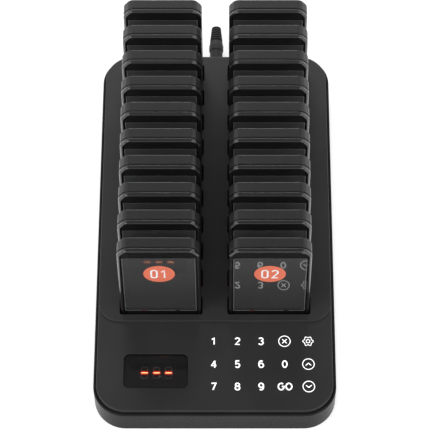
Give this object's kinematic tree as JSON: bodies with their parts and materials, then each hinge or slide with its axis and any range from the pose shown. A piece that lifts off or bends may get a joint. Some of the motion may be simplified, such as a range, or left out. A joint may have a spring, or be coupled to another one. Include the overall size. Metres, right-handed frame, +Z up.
{
  "type": "guest pager system",
  "caption": "Charging base with a touch keypad, a small lit display and two rows of lift-out pagers standing in slots.",
  "frame": {"origin": "centre of the base housing's footprint, on the plane of the rubber feet", "axes": "+Z up, -Y towards the keypad end, +X to the right of a person at the keypad"},
  "size_m": [0.168, 0.3257, 0.1071],
  "materials": {
    "housing_plastic": "fine texture, satin black",
    "cover_plastic": "fine texture, satin black",
    "pager_front": "smooth black moulding round a glossy window",
    "pager_back": "fine texture, satin black",
    "window_gloss": "glossy dark window pane",
    "label_coral": "printed coral disc",
    "print_white": "white printed legend",
    "digit_red": "lit red display segment",
    "display_smoke": "smoked display filter",
    "led_block": "moulded display block",
    "circuit_board": "lacquered circuit board",
    "contact_metal": "plated metal",
    "small_part_plastic": "black moulded part",
    "foot_rubber": "soft matt rubber",
    "plug_rubber": "soft satin overmould"
  },
  "bodies": {
    "base": {"base_shell": "housing_plastic", "top_cover": "cover_plastic", "rubber_feet": "foot_rubber", "display_window": "display_smoke", "display_module": "led_block", "display_spacer": "small_part_plastic", "control_board": "circuit_board", "main_board": "circuit_board", "charging_board": "circuit_board", "charging_pins": "contact_metal", "radio_module": "contact_metal", "buzzer": "small_part_plastic", "ribbon_cable": "small_part_plastic", "dc_jack": "small_part_plastic"},
    "plug": {"power_plug": "plug_rubber", "plug_barrel": "contact_metal"},
    "pager_01": {"pager_01_front_shell": "pager_front", "pager_01_back_shell": "pager_back"},
    "pager_02": {"pager_02_front_shell": "pager_front", "pager_02_back_shell": "pager_back"},
    "pager_03": {"pager_03_front_shell": "pager_front", "pager_03_back_shell": "pager_back"},
    "pager_04": {"pager_04_front_shell": "pager_front", "pager_04_back_shell": "pager_back"},
    "pager_05": {"pager_05_front_shell": "pager_front", "pager_05_back_shell": "pager_back"},
    "pager_06": {"pager_06_front_shell": "pager_front", "pager_06_back_shell": "pager_back"},
    "pager_07": {"pager_07_front_shell": "pager_front", "pager_07_back_shell": "pager_back"},
    "pager_08": {"pager_08_front_shell": "pager_front", "pager_08_back_shell": "pager_back"},
    "pager_09": {"pager_09_front_shell": "pager_front", "pager_09_back_shell": "pager_back"},
    "pager_10": {"pager_10_front_shell": "pager_front", "pager_10_back_shell": "pager_back"},
    "pager_11": {"pager_11_front_shell": "pager_front", "pager_11_back_shell": "pager_back"},
    "pager_12": {"pager_12_front_shell": "pager_front", "pager_12_back_shell": "pager_back"},
    "pager_13": {"pager_13_front_shell": "pager_front", "pager_13_back_shell": "pager_back"},
    "pager_14": {"pager_14_front_shell": "pager_front", "pager_14_back_shell": "pager_back"},
    "pager_15": {"pager_15_front_shell": "pager_front", "pager_15_back_shell": "pager_back"},
    "pager_16": {"pager_16_front_shell": "pager_front", "pager_16_back_shell": "pager_back"},
    "pager_17": {"pager_17_front_shell": "pager_front", "pager_17_back_shell": "pager_back"},
    "pager_18": {"pager_18_front_shell": "pager_front", "pager_18_back_shell": "pager_back"},
    "pager_19": {"pager_19_front_shell": "pager_front", "pager_19_back_shell": "pager_back"},
    "pager_20": {"pager_20_front_shell": "pager_front", "pager_20_back_shell": "pager_back"}
  },
  "joints": [
    {"name": "plug_pull", "type": "slide", "parent": "base", "child": "plug", "axis": [0, 1, 0], "range_m": [0, 0.011]},
    {"name": "pager_01_lift", "type": "slide", "parent": "base", "child": "pager_01", "axis": [0, 0.0785, 0.9969], "range_m": [0, 0.1]},
    {"name": "pager_02_lift", "type": "slide", "parent": "base", "child": "pager_02", "axis": [0, 0.0785, 0.9969], "range_m": [0, 0.1]},
    {"name": "pager_03_lift", "type": "slide", "parent": "base", "child": "pager_03", "axis": [0, 0.0785, 0.9969], "range_m": [0, 0.1]},
    {"name": "pager_04_lift", "type": "slide", "parent": "base", "child": "pager_04", "axis": [0, 0.0785, 0.9969], "range_m": [0, 0.1]},
    {"name": "pager_05_lift", "type": "slide", "parent": "base", "child": "pager_05", "axis": [0, 0.0785, 0.9969], "range_m": [0, 0.1]},
    {"name": "pager_06_lift", "type": "slide", "parent": "base", "child": "pager_06", "axis": [0, 0.0785, 0.9969], "range_m": [0, 0.1]},
    {"name": "pager_07_lift", "type": "slide", "parent": "base", "child": "pager_07", "axis": [0, 0.0785, 0.9969], "range_m": [0, 0.1]},
    {"name": "pager_08_lift", "type": "slide", "parent": "base", "child": "pager_08", "axis": [0, 0.0785, 0.9969], "range_m": [0, 0.1]},
    {"name": "pager_09_lift", "type": "slide", "parent": "base", "child": "pager_09", "axis": [0, 0.0785, 0.9969], "range_m": [0, 0.1]},
    {"name": "pager_10_lift", "type": "slide", "parent": "base", "child": "pager_10", "axis": [0, 0.0785, 0.9969], "range_m": [0, 0.1]},
    {"name": "pager_11_lift", "type": "slide", "parent": "base", "child": "pager_11", "axis": [0, 0.0785, 0.9969], "range_m": [0, 0.1]},
    {"name": "pager_12_lift", "type": "slide", "parent": "base", "child": "pager_12", "axis": [0, 0.0785, 0.9969], "range_m": [0, 0.1]},
    {"name": "pager_13_lift", "type": "slide", "parent": "base", "child": "pager_13", "axis": [0, 0.0785, 0.9969], "range_m": [0, 0.1]},
    {"name": "pager_14_lift", "type": "slide", "parent": "base", "child": "pager_14", "axis": [0, 0.0785, 0.9969], "range_m": [0, 0.1]},
    {"name": "pager_15_lift", "type": "slide", "parent": "base", "child": "pager_15", "axis": [0, 0.0785, 0.9969], "range_m": [0, 0.1]},
    {"name": "pager_16_lift", "type": "slide", "parent": "base", "child": "pager_16", "axis": [0, 0.0785, 0.9969], "range_m": [0, 0.1]},
    {"name": "pager_17_lift", "type": "slide", "parent": "base", "child": "pager_17", "axis": [0, 0.0785, 0.9969], "range_m": [0, 0.1]},
    {"name": "pager_18_lift", "type": "slide", "parent": "base", "child": "pager_18", "axis": [0, 0.0785, 0.9969], "range_m": [0, 0.1]},
    {"name": "pager_19_lift", "type": "slide", "parent": "base", "child": "pager_19", "axis": [0, 0.0785, 0.9969], "range_m": [0, 0.1]},
    {"name": "pager_20_lift", "type": "slide", "parent": "base", "child": "pager_20", "axis": [0, 0.0785, 0.9969], "range_m": [0, 0.1]}
  ]
}
